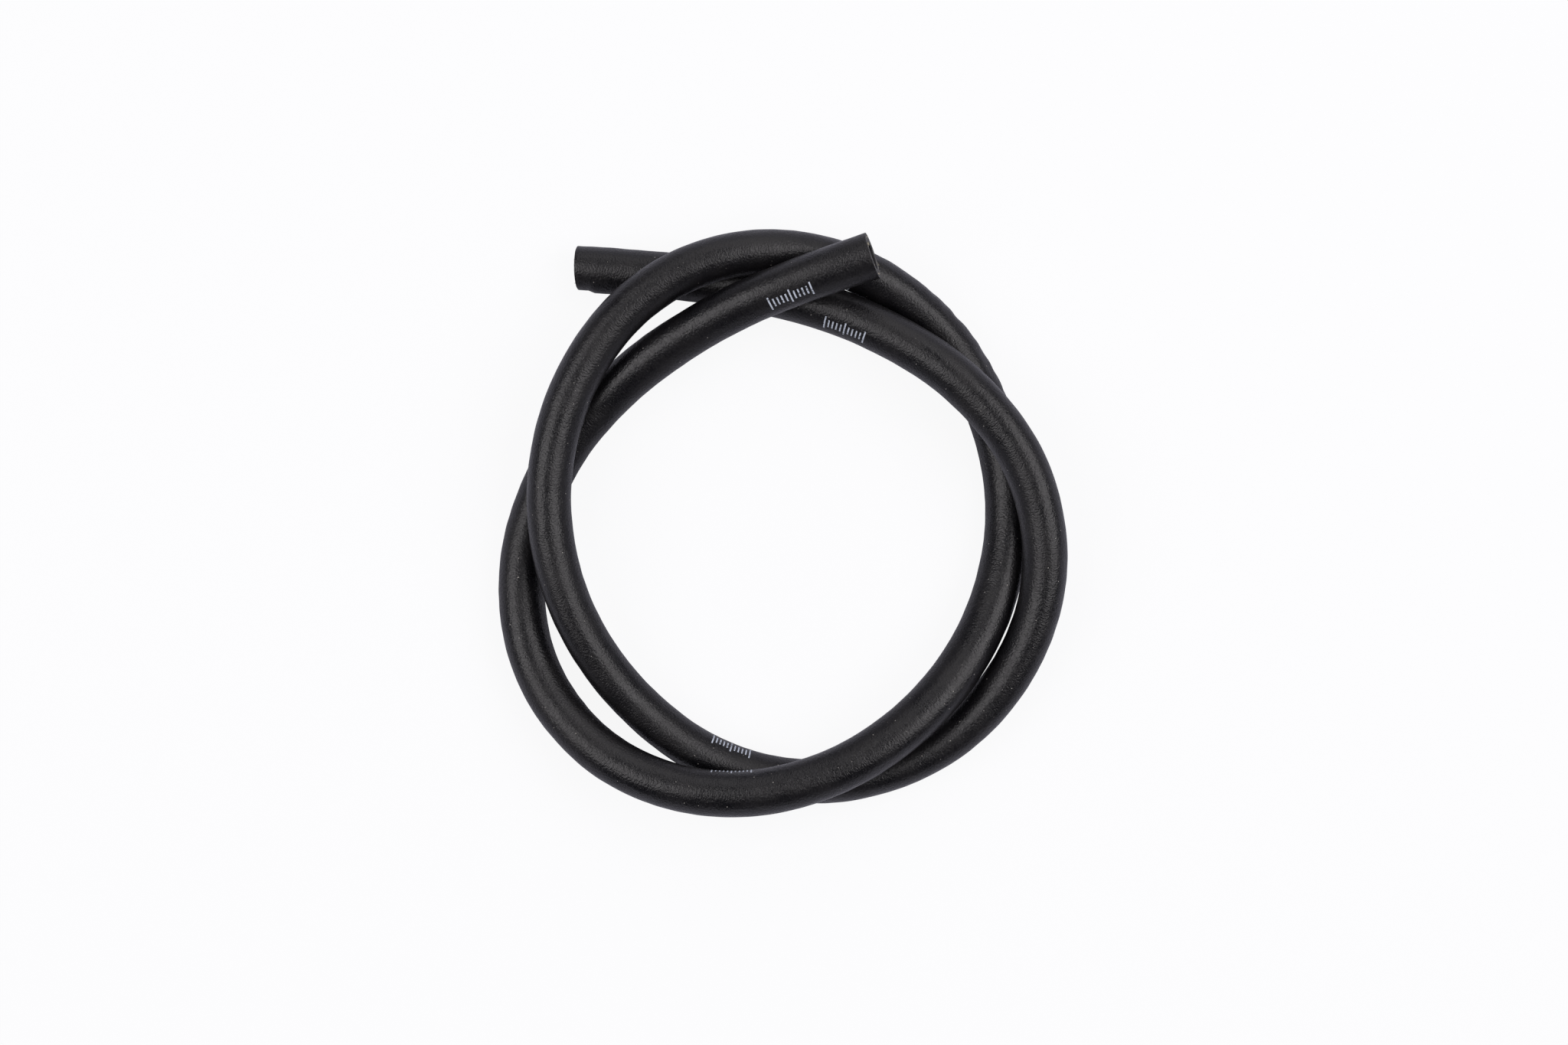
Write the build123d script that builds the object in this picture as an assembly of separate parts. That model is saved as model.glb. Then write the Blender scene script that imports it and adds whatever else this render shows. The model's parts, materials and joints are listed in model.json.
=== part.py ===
"""Reinforced rubber hose, cut square at both ends and laid down in two loose, interlaced loops.

Millimetres. Z is up and Z = 0 is the surface that the hose lies on. The origin is on that
surface, under the middle of the loops. +X runs the way that the top free end points.
"""
from build123d import *
import math
import os

# Driving sizes of the hose
bore_diameter = 8.0  # for an 8 mm spigot
outer_diameter = 13.0
cover_wall = 0.9  # black outer rubber
braid_thickness = 0.5  # yarn braid, bonded between the two rubbers

# How much of the shorter run beside a corner its arc takes up
arc_share = 0.45

# The outside diameter that the heights in the route were chosen for
drawn_diameter = 13.0

# Sizes that follow from them
cover_bore = outer_diameter - 2 * cover_wall
liner_outside = cover_bore - 2 * braid_thickness
height_scale = outer_diameter / drawn_diameter  # keeps the hose on the surface and on itself

# The hose's route, from the low end to the top end. Each point is where two straight runs would
# meet, and the arc between them passes just inside it.
route = [
    (-59.4, 74.2, 6.5),  # low end, resting on the surface
    (-32, 72.5, 8.4),  # passes under the end of the first loop
    (-4, 67.4, 11.4),  # passes under the top end
    (24, 58.7, 16),
    (52, 41.9, 20.8),  # goes over the second loop
    (72.1, 16.4, 20.8),
    (77.5, -15.8, 17.2),
    (66.7, -45.9, 11.8),
    (44, -67.9, 6.9),  # passes under the second loop
    (12.5, -77, 6.5),
    (-19, -71, 7.2),
    (-44.9, -51.4, 11.6),
    (-62.5, -24.4, 17.8),
    (-68.7, 7.8, 21.6),  # goes over the end of the second loop
    (-61.5, 39.6, 23),
    (-42.2, 66.1, 23.2),
    (-13.3, 79.3, 21.6),  # the second loop starts, over the low end
    (19.1, 76.3, 14.6),  # passes under the top end
    (46.1, 58.1, 7.8),
    (62.4, 30.4, 6.5),  # back on the surface, under the first loop
    (67.1, -1.6, 7.2),
    (58.2, -33.1, 12.4),
    (38.3, -58.2, 19.4),
    (11.1, -74.7, 20.8),  # goes over the first loop
    (-20.7, -79.6, 20.2),
    (-51.6, -69.3, 15.2),
    (-72.7, -44.5, 9.6),
    (-77.5, -12.2, 6.6),  # passes under the first loop
    (-66.8, 18.2, 7.6),
    (-48.2, 40, 12.8),
    (-25, 56.3, 20.2),  # climbs over the low end
    (-1, 67.6, 27.9),  # lies on the start of the second loop
    (25.8, 76.2, 31.2),  # top end
]


def corner_radii(points):
    """The largest arc for each corner that its two runs leave room for."""
    radii = []
    for before, corner, after in zip(points, points[1:], points[2:]):
        run_in = corner - before
        run_out = after - corner
        half_turn = math.radians(run_in.get_angle(run_out) / 2)
        shorter_run = min(run_in.length, run_out.length)
        radii.append(arc_share * shorter_run / math.tan(half_turn))
    return radii


def ring_along(path, outside, inside):
    """A hose layer's ring, swept along a path."""
    ring = Circle(outside / 2) - Circle(inside / 2)
    start = Plane(origin=path @ 0, z_dir=path % 0)
    return sweep(start * ring, path=path)


def corner_paths(points, radii):
    """The route in one stretch for each corner, from the middle of one run to the middle of the
    next. The first stretch starts at the low end and the last one stops at the top end."""
    breaks = [(a + b) / 2 for a, b in zip(points, points[1:])]
    breaks[0] = points[0]
    breaks[-1] = points[-1]
    return [
        FilletPolyline(start, corner, stop, radius=radius)
        for start, corner, stop, radius in zip(breaks, points[1:-1], breaks[1:], radii)
    ]


def report_layer(name, layer, outside, inside, length):
    expected = math.pi / 4 * (outside**2 - inside**2) * length
    print(f"{name}: volume {layer.volume:.0f} mm3, section x length {expected:.0f} mm3")


points = [Vector(x, y, z * height_scale) for x, y, z in route]
radii = corner_radii(points)
path = FilletPolyline(*points, radius=radii)

inner_tube = ring_along(path, liner_outside, bore_diameter)
textile_braid = ring_along(path, cover_bore, liner_outside)

# The cover is one extrusion too. Its solid is cut across in the middle of each run, and the
# stretches meet face to face, so that each is simple enough to be tested for contact.
outer_cover = Compound(
    [ring_along(stretch, outer_diameter, cover_bore).solid() for stretch in corner_paths(points, radii)]
)

os.makedirs("parts", exist_ok=True)
for name, layer, outside, inside in (
    ("inner_tube", inner_tube, liner_outside, bore_diameter),
    ("textile_braid", textile_braid, cover_bore, liner_outside),
    ("outer_cover", outer_cover, outer_diameter, cover_bore),
):
    layer.label = name
    export_step(layer, f"parts/{name}.step")
    report_layer(name, layer, outside, inside, path.length)

print(f"hose length {path.length:.1f} mm")
print("arc radii", [round(radius) for radius in radii])
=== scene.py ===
import json
import math
import random
from bisect import bisect_right

import bmesh
import bpy
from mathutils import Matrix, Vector, noise


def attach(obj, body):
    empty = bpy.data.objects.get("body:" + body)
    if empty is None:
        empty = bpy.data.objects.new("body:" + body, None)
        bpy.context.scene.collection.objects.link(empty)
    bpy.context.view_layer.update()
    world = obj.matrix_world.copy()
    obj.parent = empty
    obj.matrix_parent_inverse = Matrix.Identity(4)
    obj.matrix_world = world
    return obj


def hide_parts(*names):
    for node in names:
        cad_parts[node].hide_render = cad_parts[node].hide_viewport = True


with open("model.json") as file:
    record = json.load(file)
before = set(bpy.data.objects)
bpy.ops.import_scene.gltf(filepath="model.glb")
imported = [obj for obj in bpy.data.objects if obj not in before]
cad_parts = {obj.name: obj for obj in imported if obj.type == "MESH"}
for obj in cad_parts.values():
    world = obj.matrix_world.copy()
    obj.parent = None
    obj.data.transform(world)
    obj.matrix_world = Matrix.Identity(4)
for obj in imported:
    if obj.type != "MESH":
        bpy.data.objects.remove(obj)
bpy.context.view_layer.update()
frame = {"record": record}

# Black rubber hose with a yarn braid in its wall, cut square at both ends and laid in two loose
# loops. Metres, in the CAD model's frame: Z is up and the floor is at Z = 0.

up = Vector((0, 0, 1))
mountRadius = {mount["name"]: mount["dims"]["r_mm"] / 1000 for mount in frame["record"]["mounts"]}


# The camera looks straight down on the loops

viewpoint = {
    "place": (0.0005, 0.0002, 1.085),
    "lens": 85,
    "sensor": 36,
    "nearest": 0.01,
}


def addCamera(size):
    data = bpy.data.cameras.new("topCamera")
    data.lens = size["lens"]
    data.sensor_width = size["sensor"]
    data.clip_start = size["nearest"]
    camera = bpy.data.objects.new("topCamera", data)
    camera.location = size["place"]
    bpy.context.collection.objects.link(camera)
    bpy.context.scene.camera = camera
    bpy.context.scene.view_settings.view_transform = "Standard"


addCamera(viewpoint)
print("camera placed")


# The line that the hose follows

hose = {
    "length": 1.002,
    "diameter": 2 * mountRadius["low_end_clip_seat"],
    "braidRadius": 0.00535,  # middle of the yarn layer
    "boreRadius": mountRadius["low_end_bore"],
    "lineSteps": 48,  # points read from the spline for each point of the route
}

# How the two cuts lie
cutShape = {
    "tiltReach": 0.012,  # the tilt fades out this far from the end
    "lowTilt": math.radians(5),  # the low end's top edge sticks out
    "topTilt": math.radians(1.5),  # the top end's lower edge does
    "lowSkew": math.radians(3),  # the low end is cut shorter on its side in the loops
    "pinchDepth": 0.105,  # share of the radius, at the low end's inner side
    "pinchReach": 0.0048,
    "pinchRamp": 0.0014,
}

# The slow waves and small lumps of the outer skin; scales are in features for each metre
skinShape = {
    "waveHeight": 0.00008,
    "waveScale": 95,
    "rippleScale": 260,
    "rippleShare": 0.7,
    "lumpHeight": 0.00014,
    "lumpScale": 300,
    "lumpShift": Vector((7, 3, 1)),
    "lumpShare": 0.35,  # all over the hose
    "lumpExtra": 2,  # added where its outer side is lumpy
    "lumpMiddle": 0.578,  # along the hose
    "lumpReach": 0.04,
}

# Share of the length, and how much wider than round the hose lies there
ovalness = (
    (0, 0.04),
    (0.16, 0),
    (0.24, -0.01),
    (0.35, -0.025),
    (0.5, -0.005),
    (0.8, 0.035),
    (0.9, 0.03),
    (0.97, 0.02),
    (1, 0.045),
)

# Share of the length, and how far the top leans out of the loops there, as a share of the radius
lean = ((0, 0.12), (0.08, 0.09), (0.66, 0.10), (0.74, -0.02), (0.79, 0.01), (0.84, 0.10), (1, 0.14))
leanFade = 1.5  # how quickly the lean dies away down the two sides

# From the low end to the top end
hoseRoute = [
    (-0.0594, 0.074, 0.0065),  # low end, on the floor
    (-0.032, 0.0723, 0.0084),
    (-0.004, 0.0674, 0.0114),
    (0.024, 0.0587, 0.016),
    (0.052, 0.0419, 0.0208),  # over the second loop
    (0.0721, 0.0164, 0.0208),
    (0.0775, -0.0158, 0.0172),
    (0.0667, -0.0459, 0.0118),
    (0.044, -0.0679, 0.0069),  # under the second loop
    (0.0125, -0.077, 0.0065),
    (-0.019, -0.071, 0.0072),
    (-0.0449, -0.0514, 0.0116),
    (-0.0625, -0.0244, 0.0178),
    (-0.0687, 0.0078, 0.0216),  # over the end of the second loop
    (-0.0615, 0.0396, 0.023),
    (-0.0422, 0.0661, 0.0232),
    (-0.0133, 0.0793, 0.0216),  # the second loop starts, over the low end
    (0.0191, 0.0763, 0.0146),
    (0.0461, 0.0581, 0.0078),
    (0.0624, 0.0304, 0.0065),  # on the floor, under the first loop
    (0.0671, -0.0016, 0.0072),
    (0.0582, -0.0331, 0.0124),
    (0.0383, -0.0582, 0.0194),
    (0.0111, -0.0747, 0.0208),  # over the first loop
    (-0.0207, -0.0796, 0.0202),
    (-0.0516, -0.0693, 0.0152),
    (-0.0727, -0.0445, 0.0096),
    (-0.0775, -0.0122, 0.0066),  # under the first loop
    (-0.0668, 0.0182, 0.0076),
    (-0.0482, 0.04, 0.0128),
    (-0.025, 0.0563, 0.0202),  # climbs over the low end
    (-0.001, 0.0676, 0.0279),
    (0.0258, 0.0762, 0.0312),  # top end
]


def readLine(route, steps):
    # the points along a smooth spline that the route's points pull into shape
    data = bpy.data.curves.new("hoseLine", "CURVE")
    data.dimensions = "3D"
    data.resolution_u = steps
    spline = data.splines.new("NURBS")
    spline.points.add(len(route) - 1)
    for point, place in zip(spline.points, route):
        point.co = (*place, 1)
    spline.order_u = 3
    spline.use_endpoint_u = True
    carrier = bpy.data.objects.new("hoseLine", data)
    mesh = bpy.data.meshes.new_from_object(carrier)
    points = [vertex.co.copy() for vertex in mesh.vertices]
    bpy.data.objects.remove(carrier)
    bpy.data.meshes.remove(mesh)
    bpy.data.curves.remove(data)
    return points


linePoints = readLine(hoseRoute, hose["lineSteps"])
lineMarks = [0]
for before, after in zip(linePoints, linePoints[1:]):
    lineMarks.append(lineMarks[-1] + (after - before).length)
lineLength = lineMarks[-1]
lineDirections = [
    (linePoints[min(i + 1, len(linePoints) - 1)] - linePoints[max(i - 1, 0)]).normalized()
    for i in range(len(linePoints))
]
print(f"hose line {lineLength * 1000:.1f} mm long, from {len(linePoints)} points")


def frameAt(distance):
    # the line's centre at a distance from the low end, and its forward, right-hand and upper
    # directions there; past an end the line goes straight on
    i = min(max(bisect_right(lineMarks, distance) - 1, 0), len(lineMarks) - 2)
    share = (distance - lineMarks[i]) / (lineMarks[i + 1] - lineMarks[i])
    centre = linePoints[i] + (linePoints[i + 1] - linePoints[i]) * share
    inside = min(max(share, 0), 1)
    forward = lineDirections[i].lerp(lineDirections[i + 1], inside).normalized()
    right = forward.cross(up).normalized()
    return centre, forward, right, right.cross(forward)


def smoothStep(value):
    value = min(max(value, 0), 1)
    return value * value * (3 - 2 * value)


def shapeAt(table, distance):
    share = min(max(distance / lineLength, 0), 1)
    for (low, first), (high, second) in zip(table, table[1:]):
        if share <= high:
            return first + (second - first) * smoothStep((share - low) / (high - low))
    return table[-1][1]


def skinWave(distance, angle):
    # how far the skin stands out of a true tube
    shape = skinShape
    radius = hose["diameter"] / 2
    spot = Vector((distance, radius * math.cos(angle), radius * math.sin(angle)))
    ripple = noise.noise(spot * shape["rippleScale"])
    wave = noise.noise(spot * shape["waveScale"]) + shape["rippleShare"] * ripple
    outerSide = max(0, -math.sin(angle))
    near = math.exp(-((distance - shape["lumpMiddle"]) / shape["lumpReach"]) ** 2)
    lump = noise.noise(spot * shape["lumpScale"] + shape["lumpShift"])
    lumpy = shape["lumpShare"] + shape["lumpExtra"] * near * outerSide
    return shape["waveHeight"] * wave + shape["lumpHeight"] * lump * lumpy


def hosePlace(setting, distance, radius, angle):
    # where a point of the wall lies: angle 0 is its top, and it grows towards the loops' inside
    centre, forward, right, upper = setting
    wide = 1 + shapeAt(ovalness, distance)
    high = min(1, 1 / wide)
    lowShare = smoothStep(1 - distance / cutShape["tiltReach"])
    topShare = smoothStep(1 - (lineLength - distance) / cutShape["tiltReach"])
    tilt = math.tan(cutShape["lowTilt"]) * lowShare + math.tan(cutShape["topTilt"]) * topShare
    skew = math.tan(cutShape["lowSkew"]) * lowShare
    shift = radius * (math.sin(angle) * skew - math.cos(angle) * tilt)
    pinchedHere = smoothStep((cutShape["pinchReach"] - distance) / cutShape["pinchRamp"])
    wide *= 1 - cutShape["pinchDepth"] * pinchedHere * max(0, math.sin(angle)) ** 2
    outward = shapeAt(lean, distance) * max(0, math.cos(angle)) ** leanFade
    side = right * (radius * (wide * math.sin(angle) - outward))
    rise = upper * (radius * high * math.cos(angle))
    return centre + forward * shift + side + rise


mergeDistance = 1e-7  # joins the seams where a wrapped grid meets itself


def addPiece(name, bm, materials):
    mesh = bpy.data.meshes.new(name)
    bm.to_mesh(mesh)
    bm.free()
    for material in materials:
        mesh.materials.append(material)
    mesh.shade_smooth()
    piece = bpy.data.objects.new(name, mesh)
    bpy.context.collection.objects.link(piece)
    return piece


def gridCells(bm, alongCount, aroundCount):
    # a flat grid of faces, and each new vertex's column along the hose and row around it
    made = bmesh.ops.create_grid(bm, x_segments=alongCount, y_segments=aroundCount, size=1)
    return {
        vertex: (
            round((vertex.co.x + 1) / 2 * alongCount),
            round((vertex.co.y + 1) / 2 * aroundCount),
        )
        for vertex in made["verts"]
    }


# The two rubber layers

skinZone, cutZone, boreZone = 0, 1, 2  # each is its material's place in a piece's list too
rimAngles = (1.2, 0.8, 0.4)  # round a cut's rim, from the wall to the face
faceShares = (0, 0.2, 0.4, 0.6, 0.8, 1)  # down the cut face
layerGap = 0.00001  # keeps the two rubbers from sharing a surface

coverWall = {
    "outside": hose["diameter"] / 2,
    "inside": hose["braidRadius"] + layerGap,
    "rimRadius": 0.00012,
    "outerStep": 0.001,
    "innerStep": 0.004,
    "around": 60,
    "cutRoughness": 0.00007,
    "cutScale": 2600,
}
linerWall = {
    "outside": hose["braidRadius"] - layerGap,
    "inside": hose["boreRadius"],
    "rimRadius": 0.00016,
    "outerStep": 0.004,
    "innerStep": 0.002,
    "around": 48,
    "cutRoughness": 0.00006,
    "cutScale": 2600,
}

# Where the printed rows are, along the hose and down its inner side, in metres and degrees
printMarks = ((0.0817, 45), (0.308, 63), (0.531, 75), (0.7528, 85), (0.9755, 38))


def endColumns(wall):
    # from the outside over the rim, down the cut face and over the bore's rim, as the distance
    # back from the cut, the radius and the zone
    rim = wall["rimRadius"]
    outer = wall["outside"] - rim
    inner = wall["inside"] + rim
    columns = [(rim - rim * math.cos(a), outer + rim * math.sin(a), skinZone) for a in rimAngles]
    columns += [(0, outer + (inner - outer) * share, cutZone) for share in faceShares]
    columns += [(rim - rim * math.cos(a), inner - rim * math.sin(a), cutZone) for a in reversed(rimAngles)]
    return columns


def spread(start, stop, step):
    count = max(1, round(abs(stop - start) / step))
    return [start + (stop - start) * i / count for i in range(count + 1)]


def wallColumns(wall):
    # once round the wall's cut: out along the outside, over the far end, back through the inside
    rim = wall["rimRadius"]
    ends = endColumns(wall)
    outward = [(d, wall["outside"]) for d in spread(rim, lineLength - rim, wall["outerStep"])]
    back = [(d, wall["inside"]) for d in spread(lineLength - rim, rim, wall["innerStep"])]
    columns = [(*column, skinZone) for column in outward]
    columns += [(lineLength - off, radius, zone) for off, radius, zone in ends]
    columns += [(*column, boreZone) for column in back]
    columns += list(reversed(ends))
    return columns


def nearestMark(distance):
    return min(printMarks, key=lambda mark: abs(mark[0] - distance))


def layPrint(bm, cells, columns, around):
    # a UV map with its middle on the nearest row, in metres along and around the hose
    printMap = bm.loops.layers.uv["printMap"]
    for face in bm.faces:
        spots = [cells[vertex] for vertex in face.verts]
        if any(columns[i % len(columns)][2] != skinZone for i, j in spots):
            continue
        middle = columns[spots[0][0] % len(columns)][0]
        markPlace, markAngle = nearestMark(middle)
        turn = spots[0][1] / around - markAngle / 360
        turns = round(turn)
        for loop, (i, j) in zip(face.loops, spots):
            aroundMark = (j / around - markAngle / 360 - turns) * math.tau
            alongMark = columns[i % len(columns)][0] - markPlace
            loop[printMap].uv = (alongMark, aroundMark * hose["diameter"] / 2)


def wrapWall(name, wall, withSkin, materials):
    columns = wallColumns(wall)
    around = wall["around"]
    bm = bmesh.new()
    straight = bm.verts.layers.float_vector.new("straight")
    if withSkin:
        bm.loops.layers.uv.new("printMap")
    cells = gridCells(bm, len(columns), around)
    for face in bm.faces:
        zones = [columns[cells[vertex][0] % len(columns)][2] for vertex in face.verts]
        face.material_index = cutZone if cutZone in zones else zones[0]
    if withSkin:
        layPrint(bm, cells, columns, around)
    settings = [frameAt(distance) for distance, radius, zone in columns]
    for vertex, (i, j) in cells.items():
        distance, radius, zone = columns[i % len(columns)]
        angle = math.tau * j / around
        flat = Vector((distance, radius * math.cos(angle), radius * math.sin(angle)))
        vertex[straight] = flat
        if withSkin and zone == skinZone:
            radius += skinWave(distance, angle)
        setting = settings[i % len(columns)]
        place = hosePlace(setting, distance, radius, angle)
        if zone == cutZone:
            place += setting[1] * (wall["cutRoughness"] * noise.noise(flat * wall["cutScale"]))
        vertex.co = place
    bmesh.ops.remove_doubles(bm, verts=bm.verts, dist=mergeDistance)
    bmesh.ops.recalc_face_normals(bm, faces=bm.faces)
    return addPiece(name, bm, materials)


# The braid: flat ribbons of yarn wound both ways, each over one and under the next

braid = {
    "carriers": 6,  # each way
    "pitch": 0.024,
    "ribbonWidth": 0.0021,
    "ribbonThickness": 0.00024,
    "weaveHeight": 0.00012,
    "stepsPerTurn": 24,
    "proud": 0.00002,  # how far the cut yarn stands out of the rubber
    "startShare": 0.25,  # of the space between carriers, by which the two ways are set apart
    "yarnStretch": 1.73,  # the slanting yarn's length for each length of hose
    "patternWidth": 0.002,  # across a ribbon, in the yarn's own places
    "patternShift": 10,  # between the yarns of the two ways
}


def ribbonPlace(along, corner, hand, start):
    # corner runs round the ribbon's four long edges
    distance = -braid["proud"] + (lineLength + 2 * braid["proud"]) * along
    angle = start + hand * math.tau * distance / braid["pitch"]
    weave = math.cos(math.tau * braid["carriers"] * distance / braid["pitch"])
    radius = hose["braidRadius"] + hand * braid["weaveHeight"] * weave
    across = braid["ribbonWidth"] / 2 * (1 if corner in (0, 1) else -1)
    out = braid["ribbonThickness"] / 2 * (1 if corner in (1, 2) else -1)
    steep = math.atan(math.tau * hose["braidRadius"] / braid["pitch"])
    angle += hand * across * math.cos(steep) / radius
    slid = distance - across * math.sin(steep)
    slid = min(max(slid, -braid["proud"]), lineLength + braid["proud"])
    return slid, radius + out, angle


def weaveBraid(name, material):
    steps = round(lineLength / braid["pitch"] * braid["stepsPerTurn"])
    bm = bmesh.new()
    strand = bm.verts.layers.float_vector.new("straight")
    for hand in (1, -1):
        for carrier in range(braid["carriers"]):
            start = math.tau * (carrier + braid["startShare"] * hand) / braid["carriers"]
            cells = gridCells(bm, steps, 4)
            for vertex, (i, j) in cells.items():
                distance, radius, angle = ribbonPlace(i / steps, j % 4, hand, start)
                vertex.co = hosePlace(frameAt(distance), distance, radius, angle)
                side = 1 if j % 4 in (0, 1) else -1
                along = i / steps * lineLength * braid["yarnStretch"]
                across = side * braid["patternWidth"] / 2
                vertex[strand] = Vector((along, across, carrier + braid["patternShift"] * hand))
    bmesh.ops.remove_doubles(bm, verts=bm.verts, dist=mergeDistance)
    rims = [edge for edge in bm.edges if edge.is_boundary]
    bmesh.ops.holes_fill(bm, edges=rims, sides=4)
    bmesh.ops.recalc_face_normals(bm, faces=bm.faces)
    return addPiece(name, bm, [material])


# Loose filaments where the yarn was cut

cutYarn = {
    # degrees from the top towards the loops' inside, and how many filaments stand there
    "lowTufts": ((-118, 5), (-20, 3), (64, 7), (160, 4)),
    "topTufts": ((-28, 26), (-88, 3), (74, 4), (150, 5)),
    "tuftWidth": 0.00035,
    "shortest": 0.0003,
    "longest": 0.0008,
    "thickness": 0.00009,
    "thicknessShares": (0.7, 1.3),
    "tipTaper": 0.6,
    "rootShare": 0.25,  # of its length, still in the wall
    "rootSpread": 0.0002,  # across the wall
    "outwardCurl": (-0.7, 0.9),
    "sidewaysCurl": (-0.9, 0.9),
    "steps": 5,
    "seed": 11,
}


def growFilament(bm, draw, endDistance, outward, angle, radius):
    # a thin three-sided thread that curls away from the cut face
    centre, forward, right, upper = frameAt(endDistance)
    root = hosePlace((centre, forward, right, upper), endDistance, radius, angle)
    radial = (upper * math.cos(angle) + right * math.sin(angle)).normalized()
    around = (right * math.cos(angle) - upper * math.sin(angle)).normalized()
    length = draw.uniform(cutYarn["shortest"], cutYarn["longest"])
    curl = radial * draw.uniform(*cutYarn["outwardCurl"]) + around * draw.uniform(*cutYarn["sidewaysCurl"])
    thick = cutYarn["thickness"] * draw.uniform(*cutYarn["thicknessShares"]) / 2
    cells = gridCells(bm, cutYarn["steps"], 3)
    for vertex, (i, j) in cells.items():
        share = i / cutYarn["steps"]
        out = forward * (outward * length * (share - cutYarn["rootShare"]))
        middle = root + out + curl * (length * share * share)
        turn = math.tau * (j % 3) / 3
        taper = thick * (1 - cutYarn["tipTaper"] * share)
        vertex.co = middle + radial * (taper * math.cos(turn)) + around * (taper * math.sin(turn))


def addCutYarn(name, material):
    draw = random.Random(cutYarn["seed"])
    bm = bmesh.new()
    halfTurn = cutYarn["tuftWidth"] / hose["braidRadius"]
    spreadOut = cutYarn["rootSpread"]
    ends = ((0, -1, cutYarn["lowTufts"]), (lineLength, 1, cutYarn["topTufts"]))
    for endDistance, outward, tufts in ends:
        for middle, filaments in tufts:
            for filament in range(filaments):
                angle = math.radians(middle) + draw.uniform(-halfTurn, halfTurn)
                radius = hose["braidRadius"] + draw.uniform(-spreadOut, spreadOut)
                growFilament(bm, draw, endDistance, outward, angle, radius)
    bmesh.ops.remove_doubles(bm, verts=bm.verts, dist=mergeDistance)
    rims = [edge for edge in bm.edges if edge.is_boundary]
    bmesh.ops.holes_fill(bm, edges=rims, sides=3)
    bmesh.ops.recalc_face_normals(bm, faces=bm.faces)
    return addPiece(name, bm, [material])


# Materials

def makeNode(tree, kind, settings=None, sockets=None):
    made = tree.nodes.new(kind)
    for name, value in (settings or {}).items():
        setattr(made, name, value)
    for name, value in (sockets or {}).items():
        if isinstance(value, bpy.types.NodeSocket):
            tree.links.new(value, made.inputs[name])
        else:
            made.inputs[name].default_value = value
    return made


def doMath(tree, operation, first, second=0.0, third=0.0):
    # MULTIPLY_ADD is the only one here that uses the third value
    sockets = {0: first, 1: second, 2: third}
    return makeNode(tree, "ShaderNodeMath", {"operation": operation}, sockets).outputs[0]


def stretchRange(tree, value, low, high, toLow=0.0, toHigh=1.0):
    # a smooth step from low to high, to run between two other values
    sockets = {"Value": value, "From Min": low, "From Max": high, "To Min": toLow, "To Max": toHigh}
    return makeNode(tree, "ShaderNodeMapRange", {"interpolation_type": "SMOOTHSTEP"}, sockets).outputs[0]


def mixColours(tree, share, first, second):
    sockets = {0: share, 6: first, 7: second}
    return makeNode(tree, "ShaderNodeMix", {"data_type": "RGBA"}, sockets).outputs[2]


def scaledNoise(tree, place, scale, detail, roughness):
    # scale is in features for each metre, along and across
    moved = makeNode(tree, "ShaderNodeMapping", sockets={"Vector": place, "Scale": scale})
    sockets = {"Vector": moved.outputs[0], "Scale": 1.0, "Detail": detail, "Roughness": roughness}
    return makeNode(tree, "ShaderNodeTexNoise", sockets=sockets).outputs[0]


def newGroup(name, inputs, outputs):
    group = bpy.data.node_groups.new(name, "ShaderNodeTree")
    for direction, sockets in (("INPUT", inputs), ("OUTPUT", outputs)):
        for socketName, kind in sockets:
            group.interface.new_socket(socketName, in_out=direction, socket_type=f"NodeSocket{kind}")
    return group, group.nodes.new("NodeGroupInput").outputs, group.nodes.new("NodeGroupOutput").inputs


def useGroup(tree, group, sockets):
    return makeNode(tree, "ShaderNodeGroup", {"node_tree": group}, sockets).outputs


def scalePlace(tree, given):
    sockets = {0: given["Place"], 3: given["Size"]}
    return makeNode(tree, "ShaderNodeVectorMath", {"operation": "SCALE"}, sockets).outputs[0]


# The fine crossways crinkle and pebble of wrapped rubber, and the slow patches of its sheen. The
# first three are each a scale, a detail and a roughness.
crinkleShape = {
    "crossways": ((3000, 1300, 1300), 1.0, 0.5),
    "pebble": ((1750, 1600, 1600), 1.0, 0.5),
    "patches": ((70, 110, 110), 3.0, 0.6),
    "ridgeRange": (0.3, 0.7),
    "lumpRange": (0.28, 0.72),
    "ridgeShare": 0.6,
}


def buildCrinkle(shape):
    tree, given, result = newGroup(
        "rubberCrinkle",
        [("Place", "Vector"), ("Size", "Float")],
        [("Height", "Float"), ("Grain", "Float"), ("Tone", "Float")],
    )
    place = scalePlace(tree, given)
    crossways = scaledNoise(tree, place, *shape["crossways"])
    pebble = scaledNoise(tree, place, *shape["pebble"])
    patches = scaledNoise(tree, place, *shape["patches"])
    ridges = stretchRange(tree, crossways, *shape["ridgeRange"])
    lumps = stretchRange(tree, pebble, *shape["lumpRange"])
    height = doMath(tree, "MULTIPLY_ADD", ridges, shape["ridgeShare"], lumps)
    tree.links.new(height, result["Height"])
    tree.links.new(ridges, result["Grain"])
    tree.links.new(patches, result["Tone"])
    return tree


# Small pale specks, scattered singly
dustShape = {
    "cellsPerMetre": 520.0,
    "speckRange": (0.085, 0.05),  # from a speck's rim to its middle, as a share of a cell
    "chosenRange": (0.60, 0.80),  # which cells have one
}


def buildDust(shape):
    inputs = [("Place", "Vector"), ("Size", "Float")]
    tree, given, result = newGroup("dustSpecks", inputs, [("Mask", "Float")])
    sockets = {"Vector": scalePlace(tree, given), "Scale": shape["cellsPerMetre"]}
    cell = makeNode(tree, "ShaderNodeTexVoronoi", sockets=sockets)
    speck = stretchRange(tree, cell.outputs["Distance"], *shape["speckRange"])
    parts = makeNode(tree, "ShaderNodeSeparateColor", sockets={0: cell.outputs["Color"]})
    chosen = stretchRange(tree, parts.outputs[0], *shape["chosenRange"])
    tree.links.new(doMath(tree, "MULTIPLY", speck, chosen), result["Mask"])
    return tree


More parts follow.
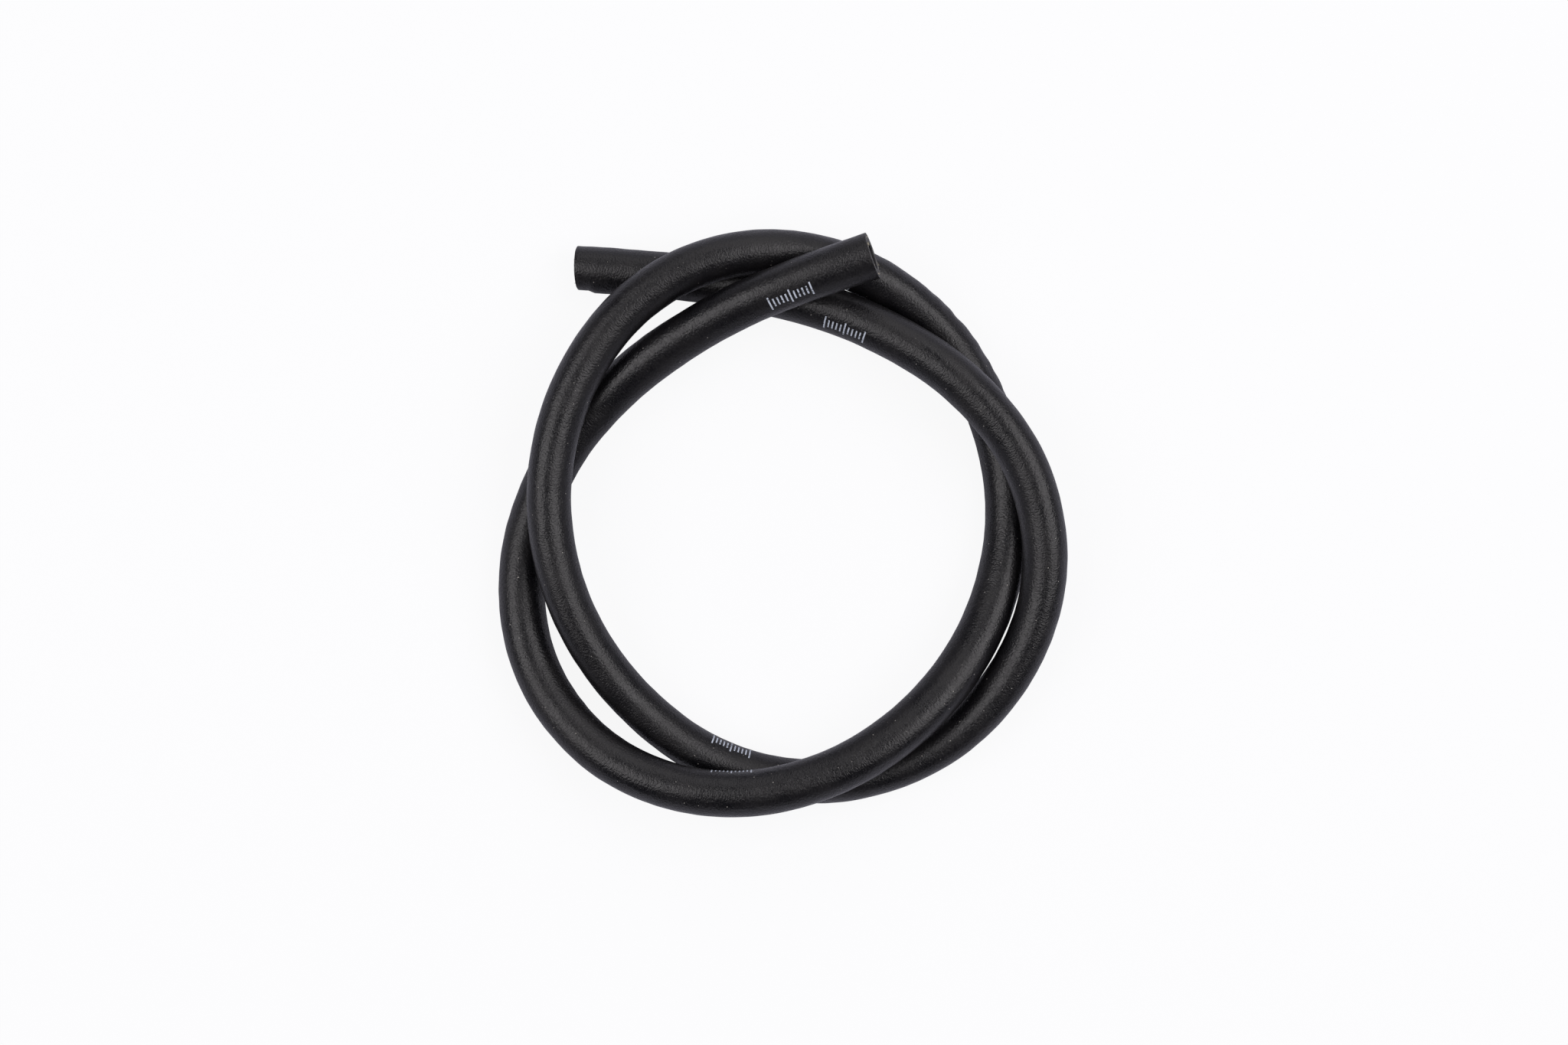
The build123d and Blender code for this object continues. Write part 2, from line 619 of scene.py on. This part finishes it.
# A plain row of ticks, long and short, in worn ink
tickShape = {
    "pitch": 0.00126,
    "halfBar": 0.00023,
    "softEdge": 0.00005,
    "stepsToLong": 5,  # from one long tick to the next, and from the middle to the row's ends
    "longRange": (0.3, 0.6),  # where long gives way to short, in steps from a long tick
    "halfLong": 0.0020,
    "halfShort": 0.0012,
    "wear": ((1900, 1900, 1900), 3.0, 0.6),
    "wearRange": (0.32, 0.46),
}


def buildTickBars(shape):
    inputs = [("Print", "Vector"), ("Place", "Vector")]
    tree, given, result = newGroup("tickBars", inputs, [("Mask", "Float")])
    apart = makeNode(tree, "ShaderNodeSeparateXYZ", sockets={0: given["Print"]})
    along, across = apart.outputs[0], apart.outputs[1]
    pitch, halfBar, edge = shape["pitch"], shape["halfBar"], shape["softEdge"]
    fromBar = doMath(tree, "PINGPONG", along, pitch / 2)
    bars = stretchRange(tree, fromBar, halfBar + edge, halfBar - edge)
    fromLong = doMath(tree, "PINGPONG", along, pitch * shape["stepsToLong"] / 2)
    longEnd, shortStart = (pitch * steps for steps in shape["longRange"])
    reach = stretchRange(tree, fromLong, longEnd, shortStart, shape["halfLong"], shape["halfShort"])
    within = doMath(tree, "LESS_THAN", doMath(tree, "ABSOLUTE", across), reach)
    halfRow = pitch * (shape["stepsToLong"] + 0.5)
    inside = doMath(tree, "LESS_THAN", doMath(tree, "ABSOLUTE", along), halfRow)
    wear = stretchRange(tree, scaledNoise(tree, given["Place"], *shape["wear"]), *shape["wearRange"])
    whole = doMath(tree, "MULTIPLY", bars, within)
    mask = doMath(tree, "MULTIPLY", whole, doMath(tree, "MULTIPLY", inside, wear))
    tree.links.new(mask, result["Mask"])
    return tree


crinkle = buildCrinkle(crinkleShape)
dust = buildDust(dustShape)
tickBars = buildTickBars(tickShape)

skinLook = {
    "dark": (0.0030, 0.0029, 0.0040, 1),
    "light": (0.0068, 0.0063, 0.0070, 1),
    "dust": (0.55, 0.53, 0.48, 1),
    "ink": (0.60, 0.66, 0.75, 1),
    "smooth": 0.24,
    "rough": 0.33,
    "grainRoughness": 0.12,
    "matt": 0.25,  # added on dust and ink
    "dustShare": 0.8,
    "inkShare": 0.92,
    "toneRange": (0.35, 0.65),
    "sheenRange": (0.3, 0.7),
    "bumpDepth": 0.000042,
}
cutLook = {
    "dark": (0.012, 0.012, 0.013, 1),
    "light": (0.15, 0.15, 0.148, 1),
    "grainSize": 1.6,
    "tear": ((900, 2600, 2600), 4.0, 0.7),  # scale, detail and roughness, as below
    "tearRange": (0.35, 0.65),
    "roughness": 0.85,
    "bumpDepth": 0.00007,
}
linerLook = {
    "dark": (0.006, 0.006, 0.007, 1),
    "light": (0.012, 0.012, 0.013, 1),
    "dust": (0.30, 0.30, 0.28, 1),
    "dustSize": 1.3,
    "dustShare": 0.3,
    "drawn": ((25, 2400, 2400), 2.0, 0.5),
    "roughness": (0.3, 0.7, 0.42, 0.58),  # from the drawn lines' range, to the finish's
    "bumpDepth": 0.00002,
}
yarnLook = {
    "dark": (0.34, 0.29, 0.20, 1),
    "light": (0.86, 0.81, 0.64, 1),
    "fine": ((350, 9000, 40), 2.0, 0.6),
    "soiled": ((160, 300, 9), 2.0, 0.5),
    "soiling": (0.3, 0.6, 0.5, 1.5),  # from the noise's range, to how much it lightens the yarn
    "roughness": 0.9,
    "bumpDepth": 0.00006,
}


def newMaterial(name):
    material = bpy.data.materials.new(name)
    material.use_nodes = True
    tree = material.node_tree
    return material, tree, tree.nodes["Principled BSDF"].inputs


def wallPlaces(tree):
    # the attribute that says where a point would be on a straight hose
    return makeNode(tree, "ShaderNodeAttribute", {"attribute_name": "straight"}).outputs["Vector"]


def giveBump(tree, shader, height, depth):
    sockets = {"Height": height, "Distance": depth, "Strength": 1.0}
    tree.links.new(makeNode(tree, "ShaderNodeBump", sockets=sockets).outputs[0], shader["Normal"])


def coverRubber(look):
    material, tree, shader = newMaterial("coverRubber")
    place = wallPlaces(tree)
    grain = useGroup(tree, crinkle, {"Place": place, "Size": 1.0})
    speck = useGroup(tree, dust, {"Place": place, "Size": 1.0})["Mask"]
    printMap = makeNode(tree, "ShaderNodeUVMap", {"uv_map": "printMap"}).outputs[0]
    ink = useGroup(tree, tickBars, {"Print": printMap, "Place": place})["Mask"]
    tone = stretchRange(tree, grain["Tone"], *look["toneRange"])
    bare = mixColours(tree, tone, look["dark"], look["light"])
    dusty = mixColours(tree, doMath(tree, "MULTIPLY", speck, look["dustShare"]), bare, look["dust"])
    printed = mixColours(tree, doMath(tree, "MULTIPLY", ink, look["inkShare"]), dusty, look["ink"])
    tree.links.new(printed, shader["Base Color"])
    sheen = stretchRange(tree, grain["Tone"], *look["sheenRange"], look["smooth"], look["rough"])
    grainy = doMath(tree, "MULTIPLY_ADD", grain["Grain"], look["grainRoughness"], sheen)
    worn = doMath(tree, "MULTIPLY_ADD", doMath(tree, "MAXIMUM", ink, speck), look["matt"], grainy)
    tree.links.new(worn, shader["Roughness"])
    giveBump(tree, shader, grain["Height"], look["bumpDepth"])
    return material


def cutRubber(look):
    # torn by the blade, so pale, rough and matt
    material, tree, shader = newMaterial("cutRubber")
    place = wallPlaces(tree)
    grain = useGroup(tree, crinkle, {"Place": place, "Size": look["grainSize"]})
    tear = scaledNoise(tree, place, *look["tear"])
    torn = stretchRange(tree, tear, *look["tearRange"])
    tree.links.new(mixColours(tree, torn, look["dark"], look["light"]), shader["Base Color"])
    shader["Roughness"].default_value = look["roughness"]
    giveBump(tree, shader, doMath(tree, "ADD", grain["Height"], tear), look["bumpDepth"])
    return material


def linerRubber(look):
    # drawn smooth, with faint lines along the bore
    material, tree, shader = newMaterial("linerRubber")
    place = wallPlaces(tree)
    drawn = scaledNoise(tree, place, *look["drawn"])
    speck = useGroup(tree, dust, {"Place": place, "Size": look["dustSize"]})["Mask"]
    bare = mixColours(tree, drawn, look["dark"], look["light"])
    dusty = mixColours(tree, doMath(tree, "MULTIPLY", speck, look["dustShare"]), bare, look["dust"])
    tree.links.new(dusty, shader["Base Color"])
    tree.links.new(stretchRange(tree, drawn, *look["roughness"]), shader["Roughness"])
    giveBump(tree, shader, drawn, look["bumpDepth"])
    return material


def braidYarn(look):
    # fine filaments that run along each ribbon
    material, tree, shader = newMaterial("braidYarn")
    place = wallPlaces(tree)
    fine = scaledNoise(tree, place, *look["fine"])
    soiling = stretchRange(tree, scaledNoise(tree, place, *look["soiled"]), *look["soiling"])
    shade = mixColours(tree, doMath(tree, "MULTIPLY", fine, soiling), look["dark"], look["light"])
    tree.links.new(shade, shader["Base Color"])
    shader["Roughness"].default_value = look["roughness"]
    giveBump(tree, shader, fine, look["bumpDepth"])
    return material


skinMaterial = coverRubber(skinLook)
cutMaterial = cutRubber(cutLook)
boreMaterial = linerRubber(linerLook)
yarnMaterial = braidYarn(yarnLook)
print("materials made")

hoseCover = wrapWall("hoseCover", coverWall, True, [skinMaterial, cutMaterial, cutMaterial])
print("outer cover wrapped")
hoseLiner = wrapWall("hoseLiner", linerWall, False, [cutMaterial, cutMaterial, boreMaterial])
print("inner tube wrapped")
hoseBraid = weaveBraid("hoseBraid", yarnMaterial)
print("braid woven")
cutYarnEnds = addCutYarn("cutYarnEnds", yarnMaterial)
print("cut yarn frayed")

for piece in (hoseCover, hoseLiner, hoseBraid, cutYarnEnds):
    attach(piece, "root")
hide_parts("outer_cover")
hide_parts("inner_tube")
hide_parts("textile_braid")


# Studio: a pale floor that glows, soft boxes on three sides and a low one in front

floor = {
    "halfWidth": 3.0,
    "colour": (0.705, 0.715, 0.80, 1),
    "glowColour": (1, 1, 1, 1),
    "glow": 1.03,
    "glowShare": 0.88,  # how much of what the camera sees of the floor is its own light
    "grain": ((300, 300, 300), 2.0, 0.5),
    "roughness": (0.3, 0.7, 0.75, 0.9),  # from the grain's range, to the finish's
}
softBoxes = {
    # name: place, width, height, radiance, colour
    "leftBox": ((-0.74, -0.05, 1.01), 0.95, 0.98, 2.5, (1, 0.965, 0.985)),
    "rightBox": ((0.74, 0.05, 1.01), 1.15, 0.98, 2.5, (1, 0.965, 0.985)),
    "backBox": ((0.15, 1.0, 0.76), 1.3, 1.05, 0.95, (1, 0.965, 0.99)),
    "frontBox": ((0.0, -1.30, 0.20), 1.6, 0.3, 0.2, (1, 0.97, 1)),
}
room = {
    "overhead": (0.048, 0.047, 0.058, 1),
    "level": (0.74, 0.725, 0.81, 1),
    "levelReach": 0.28,  # how high the room's pale walls reach, as a share of straight up
}


def addFloor(size):
    bm = bmesh.new()
    bmesh.ops.create_grid(bm, x_segments=1, y_segments=1, size=size["halfWidth"])
    material, tree, shader = newMaterial("paleFloor")
    place = makeNode(tree, "ShaderNodeTexCoord").outputs["Object"]
    grain = scaledNoise(tree, place, *size["grain"])
    shader["Base Color"].default_value = size["colour"]
    tree.links.new(stretchRange(tree, grain, *size["roughness"]), shader["Roughness"])
    light = {"Color": size["glowColour"], "Strength": size["glow"]}
    glow = makeNode(tree, "ShaderNodeEmission", sockets=light)
    seen = makeNode(tree, "ShaderNodeLightPath").outputs["Is Camera Ray"]
    share = doMath(tree, "MULTIPLY", seen, size["glowShare"])
    plain = tree.nodes["Principled BSDF"].outputs[0]
    both = makeNode(tree, "ShaderNodeMixShader", sockets={0: share, 1: plain, 2: glow.outputs[0]})
    tree.links.new(both.outputs[0], tree.nodes["Material Output"].inputs["Surface"])
    sheet = addPiece("floorSheet", bm, [material])


def addSoftBox(name, place, width, height, radiance, colour):
    data = bpy.data.lights.new(name, "AREA")
    data.shape = "RECTANGLE"
    data.size = width
    data.size_y = height
    data.color = colour
    data.energy = radiance * math.pi * width * height
    box = bpy.data.objects.new(name, data)
    box.location = place
    box.rotation_euler = (-Vector(place)).to_track_quat("-Z", "Y").to_euler()
    bpy.context.collection.objects.link(box)


def lightRoom(size):
    world = bpy.data.worlds.new("studio")
    world.use_nodes = True
    tree = world.node_tree
    way = makeNode(tree, "ShaderNodeTexCoord").outputs["Generated"]
    height = makeNode(tree, "ShaderNodeSeparateXYZ", sockets={0: way}).outputs[2]
    share = stretchRange(tree, height, 0.0, size["levelReach"])
    shade = mixColours(tree, share, size["level"], size["overhead"])
    tree.links.new(shade, tree.nodes["Background"].inputs["Color"])
    bpy.context.scene.world = world


addFloor(floor)
for name, values in softBoxes.items():
    addSoftBox(name, *values)
lightRoom(room)
print("studio lit")
